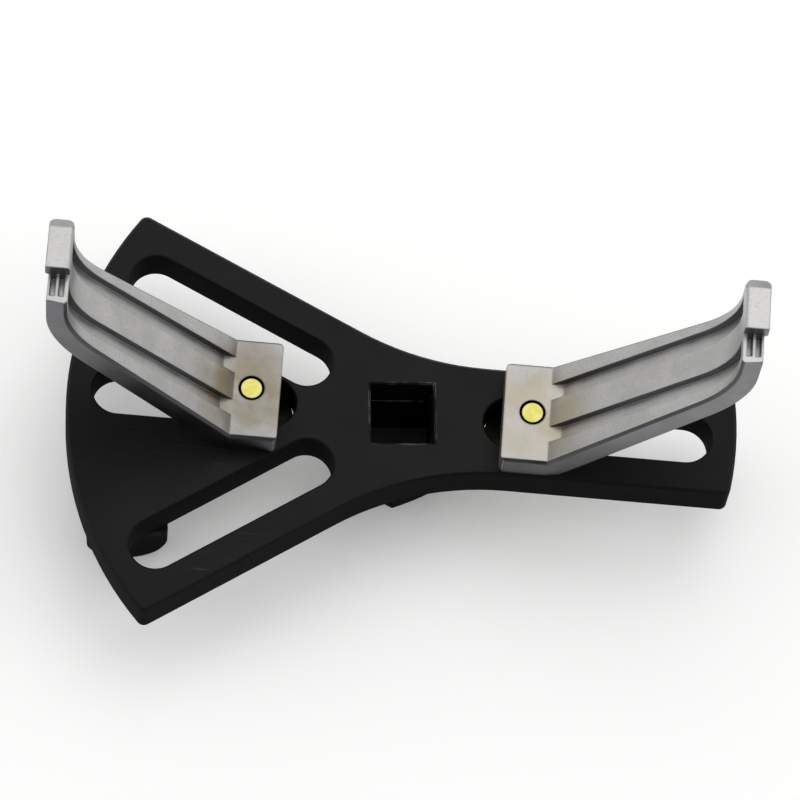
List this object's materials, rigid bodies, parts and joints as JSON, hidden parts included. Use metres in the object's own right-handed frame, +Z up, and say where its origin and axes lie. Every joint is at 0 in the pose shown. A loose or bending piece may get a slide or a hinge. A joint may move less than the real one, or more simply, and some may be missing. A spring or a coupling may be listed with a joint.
{
  "type": "oil filter wrench",
  "caption": "Slotted black plate with a square drive hub below and hooked jaws that slide along its slots, swivel on bolts and grip an oil filter.",
  "frame": {"origin": "on the drive axis, in the flat bottom face of the hexagon hub", "axes": "+Z up through the plate towards the jaw tips, +X along the slot line towards the single arm, +Y towards the jaws' toothed sides"},
  "size_m": [0.141, 0.0863, 0.0813],
  "materials": {
    "black_steel": "satin black oxide over ground steel",
    "weld_steel": "blackened weld bead",
    "cast_aluminium": "tumbled die casting",
    "yellow_zinc": "yellow zinc plating",
    "zinc_steel": "bright zinc plating"
  },
  "bodies": {
    "plate": {"slotted_plate": "black_steel", "drive_hub": "black_steel", "hub_weld": "weld_steel", "rest_foot": "black_steel", "foot_weld": "weld_steel"},
    "left_guide": {"guide_bush_left": "zinc_steel"},
    "left_jaw": {"jaw_left": "cast_aluminium"},
    "left_washers": {"flat_washer_left": "yellow_zinc", "spring_washer_left": "zinc_steel"},
    "left_bolt": {"clamp_bolt_left": "yellow_zinc"},
    "right_guide": {"guide_bush_right": "zinc_steel"},
    "right_jaw": {"jaw_right": "cast_aluminium"},
    "right_washers": {"flat_washer_right": "yellow_zinc", "spring_washer_right": "zinc_steel"},
    "right_bolt": {"clamp_bolt_right": "yellow_zinc"}
  },
  "joints": [
    {"name": "left_jaw_slide", "type": "slide", "parent": "plate", "child": "left_guide", "axis": [-1, 0, 0], "range_m": [-0.00395, 0.02675]},
    {"name": "left_jaw_swivel", "type": "hinge", "parent": "left_guide", "child": "left_jaw", "pos_m": [-0.031, 0, 0.0234], "axis": [0, 0, 1], "range_deg": [-90, 90]},
    {"name": "left_washer_drop", "type": "slide", "parent": "left_guide", "child": "left_washers", "axis": [0, 0, -1], "range_m": [0, 0.005]},
    {"name": "left_bolt_turn", "type": "hinge", "parent": "left_washers", "child": "left_bolt", "pos_m": [-0.031, 0, 0.0104], "axis": [0, 0, -1], "range_deg": [0, 1800]},
    {"name": "right_jaw_slide", "type": "slide", "parent": "plate", "child": "right_guide", "axis": [1, 0, 0], "range_m": [-0.00405, 0.03175]},
    {"name": "right_jaw_swivel", "type": "hinge", "parent": "right_guide", "child": "right_jaw", "pos_m": [0.026, 0, 0.0234], "axis": [0, 0, 1], "range_deg": [-90, 90]},
    {"name": "right_washer_drop", "type": "slide", "parent": "right_guide", "child": "right_washers", "axis": [0, 0, -1], "range_m": [0, 0.005]},
    {"name": "right_bolt_turn", "type": "hinge", "parent": "right_washers", "child": "right_bolt", "pos_m": [0.026, 0, 0.0104], "axis": [0, 0, -1], "range_deg": [0, 1800]}
  ],
  "couplings": [
    {"joint": "left_bolt_turn", "follows": "left_washer_drop", "rad_per_m": 6283.2},
    {"joint": "right_bolt_turn", "follows": "right_washer_drop", "rad_per_m": 6283.2}
  ]
}
